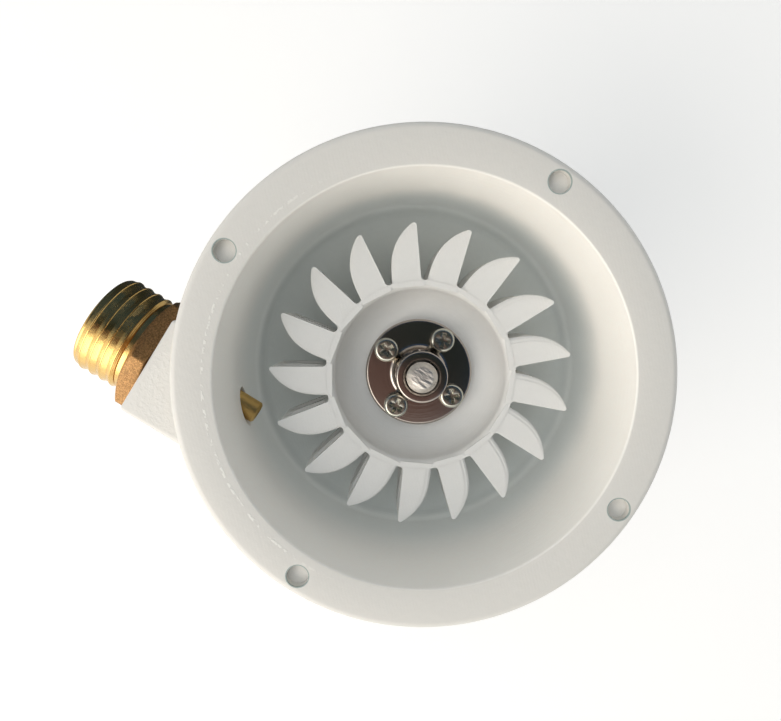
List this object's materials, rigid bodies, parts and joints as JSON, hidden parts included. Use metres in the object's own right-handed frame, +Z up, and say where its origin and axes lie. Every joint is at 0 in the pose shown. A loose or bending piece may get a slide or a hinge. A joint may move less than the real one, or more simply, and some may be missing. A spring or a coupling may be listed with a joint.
{
  "type": "micro hydro generator",
  "caption": "Small printed impulse-turbine generator: a round open shell with a side jet inlet, a bucket runner on a flange coupling, and a round generator behind.",
  "frame": {"origin": "centre of the generator's rear face, on the runner's axis", "axes": "+Z up along the runner's axis towards the open front, +X along the water jet"},
  "size_m": [0.1053, 0.0904, 0.1024],
  "materials": {
    "printed_plastic": "layered print in pale grey plastic, satin, with fine layer lines on the walls",
    "runner_plastic": "layered print in pale grey plastic, satin, with stepped layers on the curved buckets",
    "brass": "bright turned brass with a rougher cast hexagon",
    "coupling_steel": "turned and polished steel",
    "screw_steel": "bright nickel-plated steel",
    "shaft_steel": "ground steel with a faced end",
    "can_steel": "plated steel tube, satin",
    "cap_alloy": "cast and turned alloy, satin",
    "black_rubber": "matt black rubber"
  },
  "bodies": {
    "housing": {"housing_shell": "printed_plastic", "inlet_fitting": "brass", "nozzle_tip": "brass", "generator_rear_cap": "cap_alloy", "generator_can": "can_steel", "generator_front_cap": "cap_alloy", "generator_gasket": "black_rubber", "shaft_seal": "black_rubber", "lead_gland": "black_rubber", "generator_screw_1": "screw_steel", "generator_screw_2": "screw_steel", "generator_screw_3": "screw_steel", "generator_screw_4": "screw_steel"},
    "rotor": {"runner": "runner_plastic", "coupling_flange": "coupling_steel", "coupling_screw_1": "screw_steel", "coupling_screw_2": "screw_steel", "coupling_screw_3": "screw_steel", "coupling_screw_4": "screw_steel", "grub_screw_1": "screw_steel", "grub_screw_2": "screw_steel", "generator_shaft": "shaft_steel"}
  },
  "joints": [
    {"name": "runner_spin", "type": "hinge", "parent": "housing", "child": "rotor", "pos_m": [0, 0, 0.093], "axis": [0, 0, 1], "continuous": true}
  ]
}
